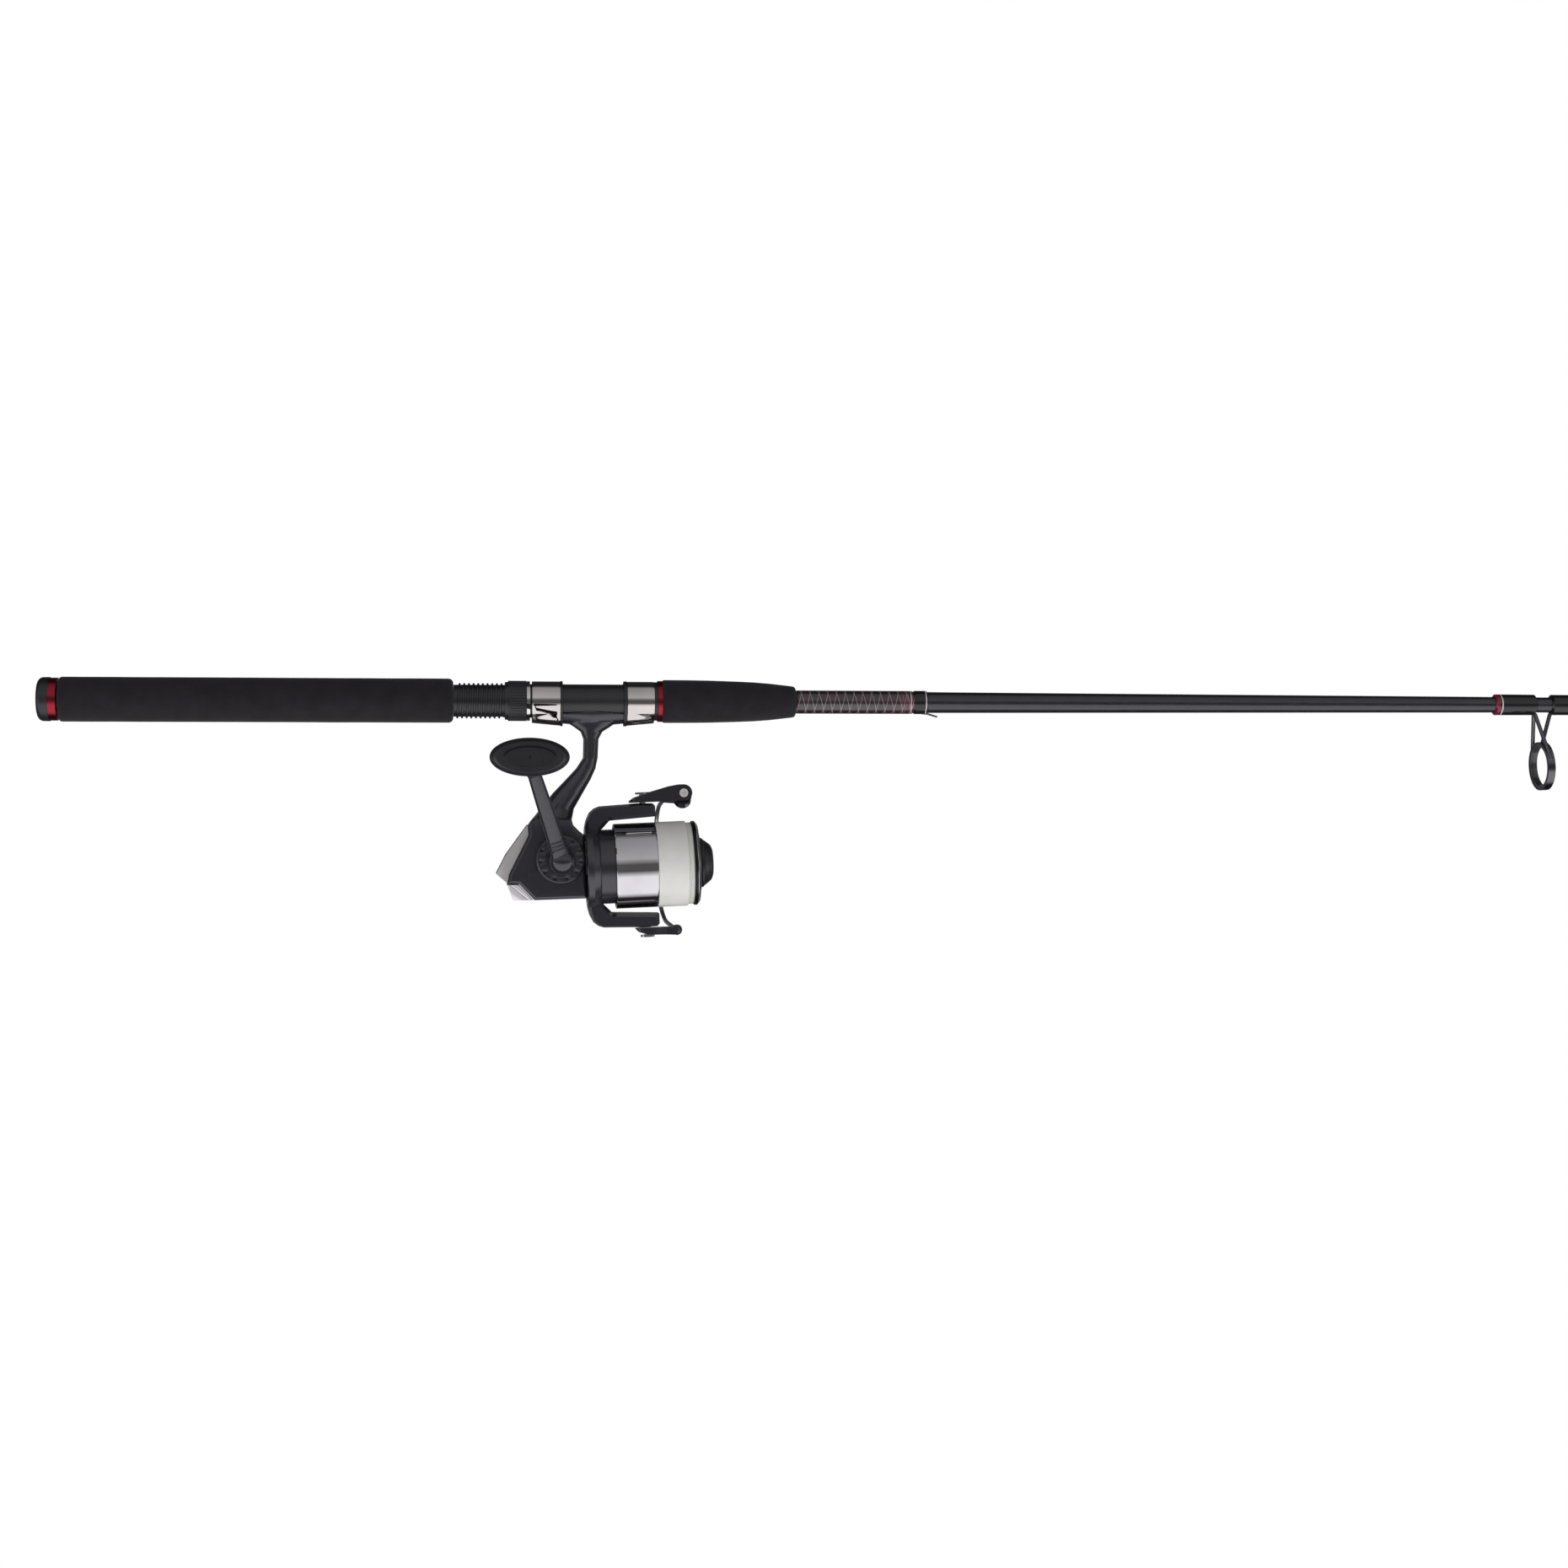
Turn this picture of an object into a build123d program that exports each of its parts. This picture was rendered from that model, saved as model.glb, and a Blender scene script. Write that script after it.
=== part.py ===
from build123d import *
import math
import os

# Spinning rod and reel. Millimetres. The origin is on the rod's axis at the middle of the rear grip.
# +X runs to the tip, +Z is up with the reel hanging on the -Z side, and the crank handle is on the -Y side.

# ---- Rod: places along X and radii ----
GRIP_HALF = 124.2
GRIP_R = 14.4
BUTT_RING_REAR = -130.1
BUTT_RING_FRONT = -125.2
BUTT_END = -137.6
THREAD_FRONT = 158.0
THREAD_CREST_R = 11.5
THREAD_ROOT_R = 10.4
THREAD_PITCH = 3.0
BARREL_R = 10.95
BARREL_FRONT = 259.4
SLEEVE_BORE_R = 11.75  # the nut and the sliding hood run over the thread crests on this
HOOD_REAR = 174.9
HOOD_MOUTH = 194.8
FRONT_HOOD_MOUTH = 234.4
FRONT_HOOD_END = 254.2
HOOD_TOP_R = 12.8
FORE_RING_REAR = 256.6
FORE_GRIP_END = 347.4
WRAP_END = 426.0
KEEPER_WRAP_END = 435.6
GUIDE_X = 862.0
FERRULE_X = 930.0
FERRULE_DEPTH = 72.0
FERRULE_R = 4.80
FERRULE_GAP = 0.06
TIP_X = 1996.4

# ---- Reel: its axis, and places along that axis measured from the crank ----
CRANK_X = 193.0
CRANK_Z = -102.5
AXIS_Z = -109.2
AXIS_TILT = 2.3
SHAFT_R = 2.25
ROTOR_REAR = 17.0
ROTOR_FRONT = 63.2
ARM_OUT_R = 40.6
BAIL_PIVOT = 55.5
SKIRT_REAR = 35.7
SKIRT_R = 27.7
LINE_REAR = 62.6
LINE_FRONT = 86.3
LIP_FRONT = 90.2
ROLLER_AT = (82.2, 2.9, 42.6)
ROLLER_TILT = 22.0
CRANK_RADIUS = 68.6
CRANK_ANGLE = -18.4
KNOB_SEAT = -70.4
KNOB_BASE = KNOB_SEAT - 0.4

# ---- Gears ----
DRIVE_TEETH = 44
PINION_TEETH = 9
OSC_DRIVER_TEETH = 14
OSC_TEETH = 18
OSC_MODULE = 1.1

REEL = Location((CRANK_X, 0, AXIS_Z), (0, -AXIS_TILT, 0))
CRANK = Location((CRANK_X, 0, CRANK_Z), (0, CRANK_ANGLE, 0))
RISE = (Align.CENTER, Align.CENTER, Align.MIN)


def turned(*points):
    """A solid of revolution about X from closed (x, radius) points."""
    return revolve(make_face(Polyline(*points, close=True)), Axis.X)


def tube(x0, x1, outer, inner):
    return turned((x0, inner), (x0, outer), (x1, outer), (x1, inner))


def disc_y(x, z, y0, y1, radius):
    """A cylinder along Y."""
    return Location((x, y0, z), (-90, 0, 0)) * Cylinder(radius, y1 - y0, align=RISE)


def bar(start, end, radius, end_radius=None):
    """A round bar or cone from one point to another."""
    run = Vector(end) - Vector(start)
    place = Plane(origin=start, z_dir=run)
    if end_radius is None:
        return place * Cylinder(radius, run.length, align=RISE)
    return place * Cone(radius, end_radius, run.length, align=RISE)


def slab(points, y0, y1):
    """An outline of (x, z) points, from y0 to y1."""
    face = make_face(Polyline(*[(x, 0, z) for x, z in points], close=True))
    return Location((0, y0, 0)) * extrude(face, amount=y1 - y0, dir=(0, 1, 0))


def blank_radius(x):
    """The blank's outer radius: a gentle taper to the ferrule, then a slightly quicker one to the tip."""
    if x < 438:
        return 7.2 - 0.25 * (x - GRIP_HALF) / 314 if x > GRIP_HALF else 7.2
    if x < FERRULE_X:
        return 6.95 - (x - 438) * 2.02 / (FERRULE_X - 438)
    return 5.9 - (x - FERRULE_X) * 4.7 / (TIP_X - FERRULE_X)


# ---- Handle of the rod ----
def make_blank_butt():
    spigot = FERRULE_X + FERRULE_DEPTH
    return turned(
        (BUTT_RING_REAR, 6.0), (BUTT_RING_REAR, 7.2), (GRIP_HALF, 7.2), (438, 6.95),
        (FERRULE_X - 1, 4.93), (FERRULE_X - 1, FERRULE_R), (spigot, FERRULE_R), (spigot, 3.3), (438, 5.4),
    )


def make_butt_cap():
    flat = BUTT_END + 3.2
    outline = (
        Polyline((BUTT_END, 0), (BUTT_END, 9.8)),
        ThreePointArc((BUTT_END, 9.8), (BUTT_END + 1.1, 12.9), (flat, 14.0)),
        Polyline((flat, 14.0), (BUTT_RING_REAR, 14.1), (BUTT_RING_REAR, 0), (BUTT_END, 0)),
    )
    return revolve(make_face(Wire(outline[0].edges() + outline[1].edges() + outline[2].edges())), Axis.X)


def make_rear_grip():
    edge = 2.6
    return turned(
        (-GRIP_HALF, 7.25), (-GRIP_HALF, GRIP_R - 0.9), (-GRIP_HALF + 0.9, GRIP_R),
        (GRIP_HALF - edge, GRIP_R), (GRIP_HALF - edge / 3, GRIP_R - 0.8), (GRIP_HALF, GRIP_R - edge),
        (GRIP_HALF, 7.25),
    )


def make_seat_thread():
    """The threaded tail of the seat, as one rib per turn."""
    points = [(GRIP_HALF + 0.1, 7.3), (GRIP_HALF + 0.1, THREAD_ROOT_R)]
    turn = GRIP_HALF + 0.4
    while turn + THREAD_PITCH < THREAD_FRONT:
        points += [(turn + 0.3, THREAD_ROOT_R), (turn + 0.9, THREAD_CREST_R)]
        points += [(turn + 1.9, THREAD_CREST_R), (turn + 2.5, THREAD_ROOT_R)]
        turn += THREAD_PITCH
    return turned(*points, (THREAD_FRONT, THREAD_ROOT_R), (THREAD_FRONT, 7.3))


def foot_cone(x0, x1, grow):
    """The reel foot's rounded underside between two places, swollen by a clearance or a wall."""
    middle = (HOOD_MOUTH + FRONT_HOOD_MOUTH) / 2
    faces = []
    for x in (x0, x1):
        near = 1 - abs(x - middle) / 36
        plane = Plane(origin=(x, 0, -6.2 - 1.4 * near), x_dir=(0, 1, 0), z_dir=(1, 0, 0))
        faces.append(plane * Circle(6.9 + 2.0 * near + grow))
    return loft(faces)


def hood(x0, x1, mouth_grow=0.0):
    """A hood ring: a round top with a pouch below it for one end of the reel foot."""
    shell = tube(x0, x1, HOOD_TOP_R + mouth_grow, 8.0) + foot_cone(x0, x1, 1.6 + mouth_grow)
    return shell - tube(x0 - 1, x1 + 1, SLEEVE_BORE_R, 0) - foot_cone(x0 - 1, x1 + 1, 0.4)


def make_reel_seat():
    collar = FRONT_HOOD_END - 1.5
    return turned(
        (THREAD_FRONT, 7.3), (THREAD_FRONT, BARREL_R), (collar, BARREL_R),
        (collar, 11.7), (BARREL_FRONT, 11.7), (BARREL_FRONT, 7.3),
    )


def make_fore_grip():
    back = BARREL_FRONT + 0.1
    crown = Spline((back + 1.2, 14.1), (290, 13.9), (319.5, 12.9), (FORE_GRIP_END - 1, 10.2))
    rest = Polyline(
        (FORE_GRIP_END - 1, 10.2), (FORE_GRIP_END, 9.0), (FORE_GRIP_END, 7.25),
        (back, 7.25), (back, 12.9), (back + 1.2, 14.1),
    )
    return revolve(make_face(Wire(crown.edges() + rest.edges())), Axis.X)


def wrap(x0, x1, build):
    """Thread wound over the blank under epoxy, with softly sloped ends."""
    r0 = blank_radius(x0) + 0.03
    r1 = blank_radius(x1) + 0.03
    return turned(
        (x0, r0), (x0, r0 + 0.15), (x0 + 1.2, r0 + build), (x1 - 1.2, r1 + build), (x1, r1 + 0.15), (x1, r1)
    )


def make_hook_keeper():
    """A small U of wire under the blank, whose legs are held by the wrap."""
    radius = 0.5
    near = [(432.5, -1.7, -7.35), (436.0, -1.7, -7.6), (442.0, -1.7, -9.4)]
    route = near + [(x, -y, z) for x, y, z in reversed(near)]
    wire = bar(route[0], route[1], radius)
    for start, end in zip(route[1:], route[2:]):
        wire += bar(start, end, radius) + Location(start) * Sphere(radius)
    return wire


# ---- Guides ----
def guide(x, ring_r, band_r, drop, foot):
    """One guide hanging below the blank: (frame, ceramic ring, thread wraps)."""
    wide = band_r / 10
    centre = Location((x, 0, -drop), (0, -2.8, 0))
    middle = (ring_r + band_r) / 2
    axial = 0.9 + wide
    frame = centre * tube(-axial, axial, band_r, middle)
    ring = centre * (
        tube(-axial * 0.9, axial * 0.9, middle - 0.02, ring_r) - tube(axial * 0.45, axial, ring_r + 0.4, 0)
        - tube(-axial, -axial * 0.45, ring_r + 0.4, 0)
    )
    wire = 0.45 + 0.55 * wide
    leg_gap = 2.4 + 1.9 * wide
    feet = []
    for side in (-1, 1):
        heel = x + side * leg_gap
        toe = heel + side * foot
        seat = blank_radius(heel) + 0.12
        low = blank_radius(toe) + 0.12
        feet.append(
            slab([(heel, -seat), (heel, -seat - 0.9 - 0.5 * wide), (toe, -low - 0.35), (toe, -low)],
                 -0.9 - wide, 0.9 + wide)
        )
    ankle = -blank_radius(x) - 0.5 - 0.4 * wide
    spread = band_r * 0.93
    for side in (-1, 1):
        knee = (x - leg_gap, side * wire * 0.8, ankle)
        hold = (x - 0.2 * wide, side * spread, -drop + band_r * 0.30)
        frame += bar(knee, hold, wire) + Location(hold) * Sphere(wire)
    frame += bar((x + leg_gap, 0, ankle), (x + 0.1, 0, -drop + middle + 0.5), wire)
    frame = frame + feet[0] + feet[1] - centre * tube(-3 * axial, 3 * axial, middle, 0)
    wraps = wrap(x - leg_gap - foot - 2, x - leg_gap + 0.4, 1.0 + 0.45 * wide)
    wraps += wrap(x + leg_gap - 0.4, x + leg_gap + foot + 2, 1.0 + 0.45 * wide)
    return frame, ring, wraps


def make_tip_section():
    """The upper half of the rod, whose socket slides over the spigot."""
    socket = FERRULE_X + FERRULE_DEPTH + 2
    bore = FERRULE_R + FERRULE_GAP
    blank = turned(
        (FERRULE_X, bore), (FERRULE_X, 6.3), (socket, 6.2), (socket + 14, blank_radius(socket + 14)),
        (TIP_X - 6, blank_radius(TIP_X)), (TIP_X - 6, 0), (1500, 0), (socket, 3.4), (socket, bore),
    )
    ferrule = turned(
        (FERRULE_X, 6.32), (FERRULE_X, 6.6), (FERRULE_X + 1, 7.0), (FERRULE_X + 16, 7.0),
        (FERRULE_X + 18, 6.5), (FERRULE_X + 18, 6.32),
    )
    frames, rings, wraps = Part(), Part(), Part()
    for x, ring_r, band_r, drop, foot in (
        (1132, 8.2, 10.4, 24.0, 17.0), (1356, 6.2, 8.0, 18.0, 14.0),
        (1558, 4.7, 6.3, 14.0, 12.0), (1738, 3.7, 5.1, 11.4, 10.0), (1880, 3.5, 4.8, 10.2, 9.0),
    ):
        one_frame, one_ring, one_wrap = guide(x, ring_r, band_r, drop, foot)
        frames += one_frame
        rings += one_ring
        wraps += one_wrap
    end_ring = Location((TIP_X + 1.5, 0, -3.0), (0, -20, 0))
    sleeve = tube(TIP_X - 14, TIP_X - 1, 2.1, blank_radius(TIP_X - 10) + 0.05)
    tip_top = end_ring * (tube(-1.1, 1.1, 4.9, 4.0)) + sleeve
    tip_top += tube(TIP_X - 6, TIP_X - 1, 2.1, 0) - tube(TIP_X - 15, TIP_X - 5.9, 1.6, 0)
    for side in (-1, 1):
        tip_top += bar((TIP_X - 12, side * 1.6, -1.2), (TIP_X + 1.8, side * 4.3, -4.4), 0.6)
    tip_top -= end_ring * tube(-6, 6, 4.0, 0)
    tip_ring = end_ring * (tube(-0.9, 0.9, 3.98, 3.3))
    return blank, ferrule, frames, rings + tip_ring, wraps, tip_top


# ---- Reel body ----
STEM = (  # level, rear edge, ridge, front edge, half width at the ridge
    (-13.0, 196.5, 213.4, 230.5, 6.6), (-17.0, 202.5, 213.4, 225.0, 6.4), (-20.0, 206.5, 213.3, 220.2, 6.2),
    (-24.7, 208.4, 213.2, 217.8, 6.0), (-37.0, 208.3, 212.0, 217.2, 6.2), (-44.0, 203.6, 208.4, 215.7, 6.6),
    (-51.0, 197.0, 203.4, 212.5, 7.4), (-60.0, 188.4, 197.2, 207.3, 8.6), (-70.2, 180.4, 189.8, 201.4, 10.4),
    (-79.0, 173.4, 184.0, 199.6, 12.6),
)
HOUSING = (
    (174.4, -78.0), (172.5, -80.7), (172.9, -87.2), (160.5, -112.0), (159.8, -115.8), (158.8, -118.4),
    (166.3, -118.5), (176.3, -129.0), (210.2, -128.0), (208.5, -87.2), (204.9, -84.4), (201.2, -80.6),
    (200.0, -76.5), (176.0, -76.0),
)
REAR_TRIM = (
    (171.9, -80.4), (172.3, -87.0), (160.0, -112.0), (159.3, -115.8), (158.4, -117.8), (151.7, -112.0),
    (157.8, -100.0),
)
LOWER_TRIM = ((158.6, -119.0), (166.1, -119.1), (175.6, -129.1), (162.4, -129.1))
BODY_BACK = 14.0
BODY_SPLIT = -11.5
BODY_FRONT = -15.5


def make_stem():
    """The leg between the foot and the gearcase, of rounded sections with a soft ridge on each side."""
    faces = []
    for level, rear, ridge, front, half in STEM:
        flank = rear + (ridge - rear) * 0.36
        corners = (
            (rear, 0), (flank, half * 0.78), (ridge, half), (front, half * 0.36),
            (front, -half * 0.36), (ridge, -half), (flank, -half * 0.78),
        )
        outline = Spline(*[(x, y, level) for x, y in corners], periodic=True)
        faces.append(make_face(outline))
    return loft(faces, ruled=True)


def make_reel_body():
    foot = foot_cone(178.6, 214.5, 0) + foot_cone(214.5, 250.4, 0)
    stem = make_stem()
    wall = 2.0
    outline = make_face(Polyline(*[(x, 0, z) for x, z in HOUSING], close=True))
    inside = offset(outline, amount=-wall, kind=Kind.INTERSECTION)
    housing = slab(HOUSING, BODY_SPLIT, BODY_BACK)
    cavity = extrude(inside, amount=BODY_BACK - 1.8, dir=(0, 1, 0))
    cavity += extrude(inside, amount=1 - BODY_SPLIT, dir=(0, -1, 0))
    neck = REEL * tube(14.0, 27.0, 17.0, 0)
    neck_hollow = REEL * (tube(12.0, 22.0, 14.6, 0) + tube(21.0, 28.0, 8.02, 0))
    body = foot + stem + housing + (neck & Box(400, 60, 400))
    body -= tube(150, 280, BARREL_R + 0.1, 0)
    body = body - cavity - neck_hollow
    body -= slab(HOUSING, BODY_FRONT - 5, BODY_SPLIT)
    body -= disc_y(CRANK_X, CRANK_Z, -8.5, -2.9, 20.2)
    body -= disc_y(CRANK_X, CRANK_Z, 5, 20, 7.02)
    return body


def make_side_cover():
    cover = slab(HOUSING, BODY_FRONT, BODY_SPLIT - 0.1)
    cover = chamfer(cover.faces().sort_by(Axis.Y)[0].edges(), 1.6)
    return cover - disc_y(CRANK_X, CRANK_Z, -20, 0, 7.02)


def make_bearing_cap():
    cap = disc_y(CRANK_X, CRANK_Z, BODY_FRONT - 4.5, BODY_FRONT - 0.1, 16.0)
    cap = chamfer(cap.faces().sort_by(Axis.Y)[0].edges(), 1.2)
    count = 11
    for index in range(count):
        turn = math.radians(90 + 360 * index / count)
        x = CRANK_X + 13.2 * math.cos(turn)
        z = CRANK_Z + 13.2 * math.sin(turn)
        cap -= disc_y(x, z, BODY_FRONT - 6, BODY_FRONT - 2.5, 1.1)
    return cap - disc_y(CRANK_X, CRANK_Z, -30, 0, 7.02)


def make_bearings():
    near = disc_y(CRANK_X, CRANK_Z, BODY_FRONT - 3, BODY_FRONT + 3, 7.0)
    near -= disc_y(CRANK_X, CRANK_Z, -30, 0, 4.05)
    far = disc_y(CRANK_X, CRANK_Z, 9.6, BODY_BACK - 0.6, 7.0)
    far -= disc_y(CRANK_X, CRANK_Z, 0, 30, 3.55)
    return near + far, REEL * tube(22.3, 27.0, 8.0, 3.65)


def make_lower_trim():
    """The bright corner piece, with a line cut across each side."""
    trim = slab(LOWER_TRIM, -14.6, 13.8)
    for low, high in ((-15.0, -14.0), (13.2, 14.2)):
        trim -= slab([(159.5, -118.8), (160.3, -118.8), (173.1, -129.3), (172.3, -129.3)], low, high)
    return trim


def make_body_screws():
    """The screws that hold the gearcase shut, on the side away from the crank."""
    screws = Part()
    for x, z in ((180.0, -84.0), (168.5, -109.0), (186.0, -124.5), (203.5, -123.0)):
        head = disc_y(x, z, BODY_BACK + 0.05, BODY_BACK + 1.0, 1.9)
        screws += head - Location((x, BODY_BACK + 1.0, z), (90, 0, 0)) * cross_recess(2.4, 0.9)
    return screws


# ---- Crank and gears ----
def spur(teeth, module, y0, y1, x, z, phase=0.0):
    """A spur gear along Y with straight-sided teeth, thinned for backlash."""
    pitch_r = teeth * module / 2
    root = pitch_r - 1.25 * module
    tip = pitch_r + 0.9 * module
    step = 360 / teeth
    points = []
    for index in range(teeth):
        centre = index * step + phase
        for radius, swing in ((root, -0.27), (tip, -0.11), (tip, 0.11), (root, 0.27)):
            turn = math.radians(centre + swing * step)
            points.append((x + radius * math.cos(turn), z + radius * math.sin(turn)))
    return slab(points, y0, y1)


def make_drive_gear():
    """The face gear, its shaft, and the small gear that drives the oscillation."""
    disc = disc_y(0, 0, -8.0, -4.9, 19.8) - disc_y(0, 0, -6.8, -4.0, 15.6)
    drop = AXIS_Z - CRANK_Z
    step = 360 / DRIVE_TEETH
    rim = disc_y(0, 0, -4.95, -4.1, 19.8) - disc_y(0, 0, -6, -2, 18.2)
    teeth = Part()
    for index in range(DRIVE_TEETH):
        tooth = Location((17.6, -4.2, drop)) * Box(8, 1.5, 0.5)
        teeth += Location((0, 0, 0), (0, index * step, 0)) * tooth
    gear = disc + (teeth & rim)
    gear += disc_y(0, 0, -26.0, -4.9, 4.0) + disc_y(0, 0, -5.0, BODY_BACK - 0.8, 3.5)
    gear = Location((CRANK_X, 0, CRANK_Z)) * gear
    return gear + spur(OSC_DRIVER_TEETH, OSC_MODULE, 5.4, 8.6, CRANK_X, CRANK_Z)


def make_crosswind_gear():
    x, z = osc_centre()
    swing = math.degrees(math.atan2(z - CRANK_Z, x - CRANK_X))
    driver_step = 360 / OSC_DRIVER_TEETH
    lead = (swing / driver_step) % 1.0
    step = 360 / OSC_TEETH
    phase = swing + 180 + (lead + 0.5) * step
    gear = spur(OSC_TEETH, OSC_MODULE, 5.4, 8.6, x, z, phase)
    gear += disc_y(x, z, 8.5, 12.0, 3.0)
    return gear + disc_y(x - 5.0, z, 4.9, 5.5, 1.8)


def osc_centre():
    span = OSC_MODULE * (OSC_DRIVER_TEETH + OSC_TEETH) / 2 + 0.1
    drop = 7.6
    return CRANK_X - math.sqrt(span**2 - drop**2), CRANK_Z - drop


def make_handle_arm():
    """The crank arm: a ball-shaped hub, and a rounded bar with ribs that leans out to the knob."""
    lean = 25.0 / CRANK_RADIUS
    near = -42.0
    neck = 60.5

    def section(z, wide, thick):
        plane = Plane(origin=(0, near - lean * z, z), x_dir=(1, 0, 0), z_dir=(0, -lean, 1))
        return plane * Ellipse(wide, thick)

    sizes = (
        (1.0, 6.6, 5.2), (14.0, 5.4, 4.4), (36.0, 4.9, 4.0), (neck, 4.2, 3.7), (CRANK_RADIUS + 1, 4.0, 3.5),
    )
    arm = loft([section(*size) for size in sizes])
    arm += Location((0, near + 1.6, -0.8)) * Sphere(8.5)
    arm += disc_y(0, 0, near + 1, -26.2, 6.4)
    arm += Location((0, -66.4, CRANK_RADIUS)) * Sphere(5.0)
    arm += disc_y(0, CRANK_RADIUS, KNOB_SEAT, -66.4, 5.0)
    ribs = ((8.2, 0.55), (10.4, 0.5), (12.6, 0.45), (neck - 3.4, 0.35), (neck - 1.2, 0.35), (neck + 1, 0.35))
    for z, grow in ribs:
        wide = 6.2 - 2.0 * (z / neck)**0.6 + grow
        arm += extrude(section(z, wide, wide - 0.75), amount=0.9)
    arm -= Location((0, KNOB_SEAT - 10, CRANK_RADIUS)) * Box(30, 20, 30)
    return CRANK * arm


def make_knob_pin():
    pin = disc_y(0, CRANK_RADIUS, KNOB_BASE - 23.0, KNOB_SEAT, 2.5)
    pin += disc_y(0, CRANK_RADIUS, KNOB_BASE - 24.4, KNOB_BASE - 23.0, 3.6)
    return CRANK * pin


def oval(y, long_r, short_r):
    return Plane(origin=(0, y, 0), x_dir=(1, 0, 0), z_dir=(0, -1, 0)) * Ellipse(long_r, short_r)


def make_knob():
    """The knob stays level while the crank is at rest, so it is built level about its own pin."""
    place = CRANK * Location((0, 0, CRANK_RADIUS))
    centre = Location((place.position.X, 0, place.position.Z))
    b = KNOB_BASE
    grip = loft([oval(b, 7.6, 7.0), oval(b - 8, 16.0, 8.6), oval(b - 15, 23.6, 11.4)])
    grip += loft([oval(b - 15, 23.6, 11.4), oval(b - 21, 24.4, 11.8), oval(b - 25.5, 20.6, 9.4)])
    grip -= disc_y(0, 0, b - 22.8, b + 1, 2.56)
    grip -= disc_y(0, 0, b - 27, b - 22.8, 3.9)
    cap = loft([oval(b - 25.6, 16.4, 7.0), oval(b - 27.4, 14.8, 5.8)]) - disc_y(0, 0, b - 29, b - 26.6, 0.9)
    return centre * grip, centre * cap


# ---- Rotor and bail, along the reel's own axis ----
def rotor_arms():
    """The two arms and the band that joins them behind the spool, with their side edges bevelled."""
    upper = (
        (17.0, 28.0), (18.8, 34.6), (23.0, 39.4), (28.0, 40.9), (ROTOR_FRONT, 41.6), (ROTOR_FRONT, 31.6),
        (33.0, 30.0), (27.2, 24.0),
    )
    lower = [(s, -h) for s, h in reversed(upper)]
    band = slab([*upper, *lower], -10.5, 10.5)
    for side in (0, -1):
        band = chamfer(band.faces().sort_by(Axis.Y)[side].edges(), 2.2)
    return band & turned(
        (17.0, 22.4), (17.0, 27.0), (18.0, 31.0), (20.3, 35.7), (23.4, 38.3), (27.0, 39.6), (43.5, 40.2),
        (52.0, ARM_OUT_R), (62.0, ARM_OUT_R - 0.4), (ROTOR_FRONT, 39.0), (ROTOR_FRONT, 22.4),
    )


def make_rotor():
    collar = turned(
        (17.0, 22.1), (17.0, 26.8), (17.6, 27.3), (21.4, 27.3), (25.2, 24.9), (26.2, 24.1), (26.2, 22.1),
    )
    drum = tube(ROTOR_REAR, 54.0, 24.2, 22.2)
    web = tube(28.4, 31.0, 22.4, 8.0) + tube(28.4, 38.0, 9.0, 3.62)
    holes = [Location((BAIL_PIVOT, 0, z)) * Cylinder(2.02, 14) for z in (36, -36)]
    return REEL * (rotor_arms() + collar + drum + web - holes[0] - holes[1])


def make_pinion():
    """The pinion on its long sleeve, bored for the main shaft."""
    step = 360 / PINION_TEETH
    root, tip = 3.1, 4.5
    mesh_turn = -8.0  # brings the teeth into mesh with the face gear at rest
    points = []
    for index in range(PINION_TEETH):
        for radius, swing in ((root, -0.22), (tip, -0.09), (tip, 0.09), (root, 0.22)):
            turn = math.radians((index + 0.5 + swing) * step - 90 + mesh_turn)
            points.append((13.9, radius * math.sin(turn), radius * math.cos(turn)))
    gear = extrude(make_face(Polyline(*points, close=True)), amount=6.6, dir=(1, 0, 0))
    sleeve = tube(20.5, 41.5, 3.6, 0)
    return REEL * (gear + sleeve - tube(10, 45, SHAFT_R + 0.05, 0))


def make_rotor_nut():
    plane = Plane(origin=(38.1, 0, 0), x_dir=(0, 1, 0), z_dir=(1, 0, 0))
    return REEL * (extrude(plane * RegularPolygon(6.4, 6), amount=3.2) - tube(37, 42, 3.62, 0))


def cross_recess(span, depth):
    """A screwdriver's cross, centred on its own origin, with its depth along Z."""
    return Box(span, span / 5, depth) + Box(span / 5, span, depth)


def make_bail_arm():
    """The arm that carries the line roller: a round base on the pivot, and a blade that rises to the roller."""
    outline = (
        (46.2, 41.0), (46.8, 42.2), (50.0, 44.2), (61.8, 47.9), (73.0, 50.9), (79.0, 51.8), (88.0, 51.8),
        (88.0, 41.2),
    )
    side = slab(outline, -9.2, 9.2)
    blade = (
        (BAIL_PIVOT, -9.0), (70.0, -8.6), (90.0, -8.6), (90.0, -2.8), (78.0, -2.8), (68.0, 1.2), (61.5, 7.2),
        (BAIL_PIVOT, 9.0),
    )
    plan = extrude(make_face(Polyline(*[(x, y, 38) for x, y in blade], close=True)), amount=20)
    plan += Location((BAIL_PIVOT, 0, 38)) * Cylinder(9.0, 20, align=RISE)
    keep = Location((84, -6, 46.2)) * Box(30, 14, 22)
    tip = disc_y(ROLLER_AT[0], 46.2, -12, 0, 5.6)
    tip += slab([(60, 60), (60, 38), (82.2, 38), (82.2, 60)], -12, 12)
    arm = (side & plan) - (keep - tip)
    arm -= Location((BAIL_PIVOT, 0, 0)) * Cylinder(2.02, 200)
    arm -= Location((BAIL_PIVOT, 0, 46.1)) * Cylinder(4.9, 10, align=RISE)
    return REEL * arm


def roller_place():
    """The line roller's frame: local Z runs along its axis, away from the bail arm."""
    return Location(ROLLER_AT, (-90 - ROLLER_TILT, 0, 0))


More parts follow.
